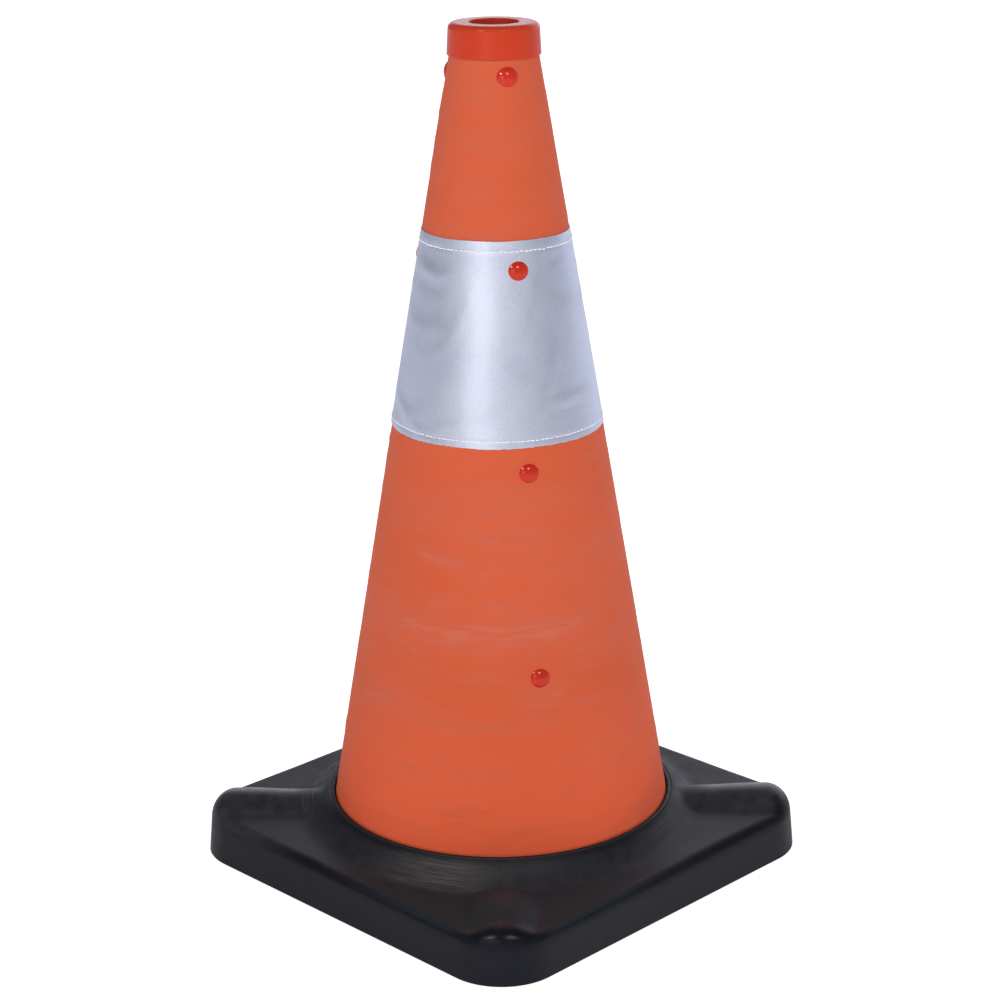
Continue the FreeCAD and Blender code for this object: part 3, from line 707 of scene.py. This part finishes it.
def stitches(name, places, length, radius, material, upright=False):
    """Stitches at (azimuth, height, stand-off) places, along the row or up the seam."""
    draw = np.random.default_rng(len(places))
    template, faces = stitch_shape(length, radius)
    parts = []
    for theta, z, stand_off in places:
        origin = skin(np.array(theta), np.array(z), np.array(stand_off))
        out = np.array((math.cos(theta) * math.cos(TILT), math.sin(theta) * math.cos(TILT),
                        math.sin(TILT)))
        round_ = np.array((-math.sin(theta), math.cos(theta), 0))
        up = np.cross(out, round_)
        if upright:
            round_, up = up, -round_
        skew = draw.normal(0, 0.07)
        along = round_ * math.cos(skew) + up * math.sin(skew)
        across = up * math.cos(skew) - round_ * math.sin(skew)
        size = template * (draw.uniform(0.92, 1.06), 1, 1)
        parts.append((origin + size @ np.array((along, across, out)), faces))
    points, all_faces = joined(parts)
    return new_mesh(name, points, all_faces, material, sharp=60)


def band_stitches(name, row, pitch):
    """A row of dashes round the band."""
    count = round(TAU * cone_radius(row) / pitch)
    draw = np.random.default_rng(count)
    theta = FRONT + TAU * (np.arange(count) + draw.normal(0, 0.05, count)) / count
    z = row + draw.normal(0, 0.12, count) * MM
    height, _ = band_height(theta, z)
    piece = stitches(name, list(zip(theta, z, height)), 0.84 * pitch, 0.46 * MM, WHITE_THREAD)
    return piece


def seam_stitches(name, low, high):
    """Two rows of stitches up the sleeve's seam."""
    places = []
    for along in (3.0 * MM, 8.0 * MM):
        z = np.arange(low + 3 * MM, high - 2 * MM, 3.6 * MM)
        theta = SEAM + along / cone_radius(z)
        height, _ = sleeve_height(theta, z)
        places += list(zip(theta, z, height))
    piece = stitches(f"seam_{name}", places, 2.7 * MM, 0.30 * MM, ORANGE_THREAD, upright=True)
    return piece


# ---- the rubber base ----

EDGE_START = 30.0 * MM
SLAB_TOP = 38.0 * MM
DRAFT = math.tan(math.radians(5))
CORNER = 51 * MM
COLLAR_EDGE, COLLAR_FOOT = 146.3 * MM, 177 * MM
COLLAR_GAP = 0.75 * MM
LIP_BORE = cone_radius(COLLAR_RIM) + COLLAR_GAP
DIAGONALS = math.radians(45)
BASE_COLUMNS = 640
LIP_OUTER = 144.8 * MM
PLATE_RECESS = 167 * MM
FOOT_ROUND = 1.6 * MM
RIDGE_RADIUS = 39.9 * MM


def outline_radius(phi, z):
    """Radius of the rounded square at an azimuth and height."""
    half, corner = BASE_HALF - DRAFT * z, CORNER - DRAFT * z
    side = np.abs((phi + math.pi / 4) % (math.pi / 2) - math.pi / 4)
    straight = half / np.cos(side)
    u = (half - corner) * (np.cos(side) + np.sin(side))
    bend = u + np.sqrt(np.maximum(u ** 2 - 2 * (half - corner) ** 2 + corner ** 2, 0))
    return np.where(half * np.tan(side) <= half - corner, straight, bend)


def soft_max(a, b, reach):
    """The larger of two heights, with the corner between them filled over a reach."""
    near = np.maximum(reach - np.abs(a - b), 0) / reach
    return np.maximum(a, b) + near * near * reach / 4


def base_top(r, phi):
    """Height of the base's top at a radius and azimuth: slab, collar and corner ridges."""
    fall = np.clip((r - COLLAR_EDGE) / (COLLAR_FOOT - COLLAR_EDGE), 0, 1)
    ahead = smooth(np.cos(phi - FRONT), 0.2, 0.95)
    slab = SLAB_TOP - 1.6 * MM * ahead
    collar = slab + (COLLAR_RIM - 1.2 * MM - slab) * (1 - fall) ** 2.25
    aside = (phi + math.pi / 2) % (math.pi / 2) - DIAGONALS
    along, across = r * np.cos(aside), r * np.sin(aside)
    crest = 49.0 * MM + 1.9 * MM * smooth(along, 160 * MM, 225 * MM)
    at_front = np.abs(turn_between(phi, FRONT)) < math.radians(20)
    crest = crest - at_front * 5.8 * MM * smooth(along, 198 * MM, 240 * MM)
    inside = np.maximum(RIDGE_RADIUS ** 2 - across ** 2, 0)
    ridge = crest - RIDGE_RADIUS + np.sqrt(inside)
    ridge = ridge - 0.5 * MM * smooth(np.abs(across), 30 * MM, 38 * MM)
    arch = 181.0 * MM - 4.0 * MM * (across / (29 * MM)) ** 2
    notch = at_front * (1 - smooth(along, arch - 7 * MM, arch))
    ridge = ridge - notch * np.maximum(ridge - slab, 0)
    top = soft_max(ridge, slab, 2.2 * MM)
    return soft_max(top, collar, 5.0 * MM)


def base_rows(phi):
    """Rows of (radius, height) of the base's skin, from the bore's foot outwards and back."""
    flat = np.ones_like(phi)
    rows = []
    for z in np.linspace(12 * MM, COLLAR_RIM - 1.6 * MM, 8):
        rows.append((flat * (cone_radius(z) + COLLAR_GAP), flat * z))
    for k in range(7):
        a = math.pi * (1 - k / 6)
        middle, reach = (LIP_BORE + LIP_OUTER) / 2, (LIP_OUTER - LIP_BORE) / 2
        rows.append((flat * (middle + reach * math.cos(a)),
                     flat * (COLLAR_RIM - 1.5 * MM + 1.5 * MM * math.sin(a))))
    for r in COLLAR_EDGE + (COLLAR_FOOT - COLLAR_EDGE) * np.linspace(0, 1, 30) ** 1.15:
        rows.append((flat * r, base_top(flat * r, phi)))
    edge = outline_radius(phi, EDGE_START)
    bulge = np.clip((base_top(edge - 10 * MM, phi) - SLAB_TOP) / (12.5 * MM), 0, 1)
    width = (8.5 + 11.5 * bulge) * MM
    for share in np.linspace(0, 1, 38)[1:]:
        r = COLLAR_FOOT + (edge - width - COLLAR_FOOT) * share
        rows.append((r, base_top(r, phi)))
    for a in np.linspace(math.pi / 2, 0, 16)[1:]:
        r = edge - width * (1 - math.cos(a))
        rows.append((r, EDGE_START + (base_top(r, phi) - EDGE_START) * math.sin(a)))
    for z in np.linspace(EDGE_START, FOOT_ROUND, 9)[1:]:
        rows.append((outline_radius(phi, z), flat * z))
    for a in np.linspace(0, math.pi / 2, 5)[1:]:
        rows.append((outline_radius(phi, 0) - FOOT_ROUND * (1 - math.cos(a)),
                     flat * FOOT_ROUND * (1 - math.sin(a))))
    for share in (0.3, 0.7, 0.97, 1.0):
        start = outline_radius(phi, 0) - FOOT_ROUND
        rows.append((start + (PLATE_RECESS - start) * share, flat * 0))
    for r, z in ((167, 0.6), (167, 7.4), (167, 8), (160, 8), (154, 8), (153.3, 8), (153.3, 12)):
        rows.append((flat * r * MM, flat * z * MM))
    return np.array([r for r, _ in rows]), np.array([z for _, z in rows])


def base_marks(angle, radius, z):
    """Where the rubber is rubbed, has pale collar lines, is worn with a painted highlight, is
    dusty and lighter with painted light, is polished, or has a painted cool reflection, per point.
    """
    seen = np.degrees(turn_between(angle, FRONT))

    def beyond(low, high):
        return smooth(radius, low * MM, high * MM)

    def above(low, high):
        return smooth(z, low * MM, high * MM)

    def about(centre, width, power=2):
        return np.exp(-((seen - centre) / width) ** power)

    on_collar = beyond(146, 150) * (1 - beyond(163, 176))
    rub = np.maximum(0.95 * on_collar * about(-18, 17), 0.35 * on_collar * about(62, 12))
    # Pale concentric lines on the back-left collar.
    pale_collar_lines = beyond(150, 154) * (1 - beyond(168, 173)) * about(-108, 20) * (z > 30 * MM)
    # Wear and painted highlight: the lip and ridge tops are painted paler.
    lip = np.exp(-((radius - 144.6 * MM) / (1.5 * MM)) ** 2) * above(53, 56)
    corner = above(47, 51) * beyond(175, 200)
    rise = np.gradient(z, axis=0) / np.maximum(np.abs(np.gradient(radius, axis=0)), 1e-6)
    # Lighter where the slab and the collar face up.
    lighter_slab_tops = np.exp(-(rise / 0.42) ** 2) * beyond(168, 178)
    lighter_collar_slope = 0.85 * np.exp(-(rise / 1.4) ** 2) * beyond(146, 150) * (1 - beyond(168, 178))
    # Sides: mottled dust all round, and painted light making them lighter to the right of the
    # front.
    side_dust_and_painted_light = (0.10 + 0.20 * smooth(seen, 4, 16)) * (1 - above(25, 31))
    # Painted reflection: the left ridge flank is lighter, as if it mirrored the bright wall
    # behind.
    painted_left_reflection = about(-82, 16) * beyond(178, 200) * above(31, 36)
    dust_and_painted_light = (lighter_slab_tops + lighter_collar_slope) * above(30, 34) + side_dust_and_painted_light + painted_left_reflection
    # Painted reflection: a cool tint on the front ridge and slab tops in place of the sleeve's
    # orange reflection.
    painted_cool_reflection = about(0, 40, 4) * (1 - beyond(226, 236)) * beyond(160, 175) * above(33.5, 35.5)
    nose = about(0, 9) * beyond(218, 228) * above(34, 38)
    polish = above(42, 48) * beyond(160, 185) * (1 - painted_cool_reflection) - 0.6 * painted_cool_reflection + 0.75 * nose
    return {"rub": rub, "pale_collar_lines": pale_collar_lines, "wear_and_painted_highlight": np.clip(0.9 * lip + 0.5 * corner, 0, 1),
            "dust_and_painted_light": np.clip(dust_and_painted_light, 0, 1), "polish": polish, "painted_cool_reflection": painted_cool_reflection}


def rubber_base():
    """The moulded base in one closed skin, its underside and bore included."""
    phi = FRONT + TAU * np.arange(BASE_COLUMNS) / BASE_COLUMNS
    radius, z = base_rows(phi)
    angle = np.broadcast_to(phi, radius.shape)
    uneven = wave_height(wave_set(31, 14, 22, 0.05, 0.2), angle, radius)
    shown = smooth(radius, 148 * MM, 160 * MM)
    z = z + 0.16 * MM * uneven * shown * smooth(z, 20 * MM, 34 * MM)
    wall = wave_height(wave_set(37, 12, 30, 0.03, 0.1), angle, z)
    radius = radius - np.abs(0.16 * MM * wall) * shown * (z > 1 * MM) * (radius > 185 * MM)
    points = np.stack([radius * np.cos(angle), radius * np.sin(angle), z], -1)
    step = np.linalg.norm(np.diff(np.stack([radius[:, 0], z[:, 0]], -1), axis=0), axis=1)
    run = np.concatenate([[0], np.cumsum(step)])
    turn = np.linspace(0, TAU, BASE_COLUMNS + 1)
    uv = np.stack(np.meshgrid(turn * 0.19, run), -1)
    piece = new_mesh("moulded_base", points.reshape(-1, 3),
                     grid_quads(len(radius), BASE_COLUMNS, True), RUBBER,
                     grid_corner_uv(uv, True), base_marks(angle, radius, z))
    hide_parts("rubber_base")
    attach(piece, "base")


# ---- turned plastic pieces ----

def cap():
    """The cap with its brim, hole, hub and spigot, and a faint mould line down one side."""
    outline = rounded([(r * MM, z * MM, radius * MM) for r, z, radius in (
        (37.0, 675, 0.5), (35.6, 700, 4.8), (19.5, 700, 1.1), (19.5, 664, 0.3),
        (21.9, 664, 0.3), (21.9, 697, 0.4), (29.4, 697, 0.8), (29.4, 652, 0.4),
        (31.7, 652, 0.6), (31.7, 675, 0.3))])
    points, faces = turned(outline, 240)
    theta = np.arctan2(points[:, 1], points[:, 0])
    outside = np.hypot(points[:, 0], points[:, 1]) > 33 * MM
    sink = 1 - 0.0012 * outside * np.exp(-(np.abs(turn_between(theta, 0.6)) / 0.03) ** 2)
    points[:, :2] *= sink[:, None]
    piece = new_mesh("top_cap", points, faces, RED, sharp=50)
    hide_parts("cap")
    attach(piece, "top")


def lamp_socket():
    """The cup for a lamp, with eight small grip ribs inside."""
    outline = rounded([(r * MM, z * MM, radius * MM) for r, z, radius in (
        (4, 604, 0.3), (24, 604, 1.2), (24, 692, 0.5), (22, 692, 0.3), (22, 606, 1.5),
        (4, 606, 0.3))])
    points, faces = turned(outline, 192)
    theta = np.arctan2(points[:, 1], points[:, 0])
    bore = (np.abs(np.hypot(points[:, 0], points[:, 1]) - 22 * MM) < 0.4 * MM)
    rib = bore * (points[:, 2] < 660 * MM) * (points[:, 2] > 608 * MM)
    points[:, :2] *= (1 - 0.02 * rib * (np.cos(8 * theta) > 0.93))[:, None]
    piece = new_mesh("lamp_cup", points, faces, BLACK, sharp=50)
    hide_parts("lamp_socket")
    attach(piece, "top")


def rivets(name, row, body):
    """A row of three domed rivets with their shanks and spread tails."""
    skin_gap = (0.6 if name == "upper_mid" else 0.1) * MM
    grip = (9.3 if name == "top" else 3.9) * MM
    head, dome = 7.6 * MM, 2.8 * MM
    ball = (head ** 2 + dome ** 2) / (2 * dome)
    rim_angle = math.atan2(head, dome - ball)
    profile = [(0, -grip - 2.2 * MM), (2.6 * MM, -grip - 2.2 * MM), (3.2 * MM, -grip - 1.8 * MM),
               (3.2 * MM, -grip - 1.1 * MM), (2.0 * MM, -grip - 1.0 * MM),
               (2.0 * MM, skin_gap), (6.9 * MM, skin_gap), (7.45 * MM, skin_gap + 0.05 * MM)]
    for k in range(19):
        a = rim_angle * (1 - k / 18) * 0.985
        profile.append((ball * math.sin(a), skin_gap + dome - ball + ball * math.cos(a)))
    profile[-1] = (0, skin_gap + dome)
    template, faces = turned(profile, 56)
    parts = []
    for azimuth in RIVET_AZIMUTHS:
        place = Matrix.Rotation(azimuth, 3, "Z") @ Matrix.Rotation(math.pi / 2 - TILT, 3, "Y")
        foot = skin(np.array(azimuth), np.array(row), np.array(0.0))
        parts.append((template @ np.array(place).T + foot, faces))
    points, all_faces = joined(parts)
    piece = new_mesh(f"domed_rivets_{name}", points, all_faces, RIVET_RED, sharp=50)
    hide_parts(f"rivets_{name}")
    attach(piece, body)


def paint_frame():
    """Materials for the CAD nodes that stay: sections, plate, screws, inserts, washers."""
    looks = {"section_": SECTION, "base_plate": BLACK, "base_screws": STEEL,
             "base_inserts": BRASS, "washers_": STEEL}
    for name, node in frame["nodes"].items():
        for start, material in looks.items():
            if name.startswith(start):
                node.data.materials.clear()
                node.data.materials.append(material)


# ---- building ----

paint_frame()
rubber_base()
cap()
lamp_socket()
BODIES = dict(zip(PANELS, ("base", "lower_mid", "upper_mid", "top")))
for panel, row in zip(PANELS, ROWS):
    rivets(panel, row, BODIES[panel])

panels = sleeve_pieces()
bands = band_pieces()
thread_bottom = band_stitches("band_thread_bottom", STITCH_ROWS[0], 4.0 * MM)
thread_top = band_stitches("band_thread_top", STITCH_ROWS[1], 4.0 * MM)
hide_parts("stitches_bottom")
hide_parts("stitches_top")
seams, low = {}, SLEEVE_FOOT
for panel, high in zip(PANELS, RIMS):
    seams[panel] = seam_stitches(panel, max(low, COLLAR_RIM + 3 * MM), min(high, CAP_FOOT))
    low = high

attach(panels["lower"], "base")
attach(seams["lower"], "base")
for panel, extra in (("lower_mid", []), ("upper_mid", [bands["lower"], thread_bottom]),
                     ("top", [bands["upper"], thread_top])):
    for piece in [panels[panel], seams[panel], *extra]:
        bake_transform(piece)


# ---- floor, light and camera ----

def floor():
    """A white floor, dimmer in reflections than it looks."""
    shader = Shader("white_floor", Base_Color=grey(0.86), Roughness=0.9,
                    Specular_IOR_Level=0.0, Emission_Color=grey(1.0))
    away = shader.node("VectorMath", {0: shader.place}, operation="LENGTH").outputs["Value"]
    bright = shader.span(away, 0.3, 2.2, 0.70, 0.88)
    glossy = shader.node("LightPath").outputs["Is Glossy Ray"]
    shader.drive("Emission Strength", shader.times(
        bright, shader.span(glossy, 0.0, 1.0, 1.0, 0.25)))
    half = 30.0
    points = [(-half, -half, 0), (half, -half, 0), (half, half, 0), (-half, half, 0)]
    ground = new_mesh("studio_floor", points, [(0, 1, 2, 3)], shader.material)
    ground.location.z = -0.05 * MM
    ground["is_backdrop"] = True


BACK_WALL_TURN = 0.40
COOL_WALLS = (0.95, 0.985, 1.09)


def world():
    """A studio: white behind and beside the object, darker above and behind the camera."""
    made = bpy.data.worlds.new("studio")
    bpy.context.scene.world = made
    made.use_nodes = True
    tree = made.node_tree
    tree.nodes.clear()

    def node(kind, inputs, **settings):
        n = tree.nodes.new("ShaderNode" + kind)
        for key, value in settings.items():
            setattr(n, key, value)
        for key, value in inputs.items():
            if isinstance(value, bpy.types.NodeSocket):
                tree.links.new(value, n.inputs[key])
            else:
                n.inputs[key].default_value = value
        return n.outputs[0] if n.outputs else None

    def span(value, low, high, new_low, new_high):
        return node("MapRange", {0: value, 1: low, 2: high, 3: new_low, 4: new_high},
                    interpolation_type="SMOOTHSTEP")

    def either(switch, off, on):
        return node("Mix", {0: switch, 2: off, 3: on}, data_type="FLOAT")

    look = tree.nodes.new("ShaderNodeTexCoord").outputs["Generated"]
    axes = tree.nodes.new("ShaderNodeSeparateXYZ")
    tree.links.new(look, axes.inputs[0])
    path = tree.nodes.new("ShaderNodeLightPath").outputs
    back = FRONT + math.pi - BACK_WALL_TURN
    toward = node("Math", {
        0: node("Math", {0: axes.outputs[0], 1: math.cos(back)}, operation="MULTIPLY"),
        1: node("Math", {0: axes.outputs[1], 1: math.sin(back)}, operation="MULTIPLY"),
    }, operation="ADD")
    # Mirrored walls end sharply; walls that light the matt surfaces fade round the room.
    sharp = span(toward, 0.60, 0.93, 0.13, 1.18)
    soft = span(toward, -0.30, 0.80, 0.27, 1.20)
    walls = either(path["Is Diffuse Ray"], sharp, soft)
    fade = span(axes.outputs[2], 0.55, 0.95, 1.0, 0.35)
    lit = node("Math", {0: walls, 1: fade}, operation="MULTIPLY")
    # The walls are seen white, and light the object slightly cool.
    seen = path["Is Camera Ray"]
    tone = node("CombineColor", {
        k: either(seen, part, 1.0) for k, part in enumerate(COOL_WALLS)})
    background = node("Background", {"Color": tone, "Strength": either(seen, lit, 1.0)})
    node("OutputWorld", {"Surface": background})


def lamp(name, azimuth, distance, height, power, size, target_height):
    """A round lamp at degrees right of the camera, aimed at the cone's axis."""
    light = bpy.data.lights.new(name, "AREA")
    light.shape = "DISK"
    light.size = size
    light.energy = power
    light.color = (1.0, 0.965, 0.90)
    thing = bpy.data.objects.new(name, light)
    bpy.context.scene.collection.objects.link(thing)
    a = FRONT + math.radians(azimuth)
    thing.location = (distance * math.cos(a), distance * math.sin(a), height)
    aim = Vector((0, 0, target_height)) - thing.location
    thing.rotation_euler = aim.to_track_quat("-Z", "Y").to_euler()


def camera():
    """In front of a corner and above the cone, looking down, with slight yaw and roll."""
    lens = bpy.data.cameras.new("camera")
    lens.lens = 88.63
    lens.sensor_width = 36.0
    lens.shift_x = -0.0027
    lens.clip_end = 100.0
    thing = bpy.data.objects.new("camera", lens)
    bpy.context.scene.collection.objects.link(thing)
    yaw, pitch, roll = (math.radians(a) for a in (-0.11, 18.06, -0.51))
    turn = FRONT + math.pi / 2
    right = Vector((math.cos(yaw + turn), math.sin(yaw + turn), 0))
    ahead = Vector((-math.sin(yaw + turn), math.cos(yaw + turn), 0))
    level_up = Vector((0, 0, 1))
    forward = ahead * math.cos(pitch) - level_up * math.sin(pitch)
    up = ahead * math.sin(pitch) + level_up * math.cos(pitch)
    x = right * math.cos(roll) + up * math.sin(roll)
    y = up * math.cos(roll) - right * math.sin(roll)
    distance, height = 1.924, 0.938
    thing.matrix_world = Matrix((
        (x.x, y.x, -forward.x, distance * math.cos(FRONT)),
        (x.y, y.y, -forward.y, distance * math.sin(FRONT)),
        (x.z, y.z, -forward.z, height),
        (0, 0, 0, 1)))
    bpy.context.scene.camera = thing


floor()
world()
lamp("key_left", -35, 1.8, 1.94, 13.0, 0.34, 0.30)
lamp("key_right", 25, 1.8, 1.94, 12.0, 0.34, 0.30)
lamp("low_fill", -19, 2.25, 0.95, 5.4, 1.05, 0.40)
camera()
bpy.context.scene.view_settings.view_transform = "Standard"

low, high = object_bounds()
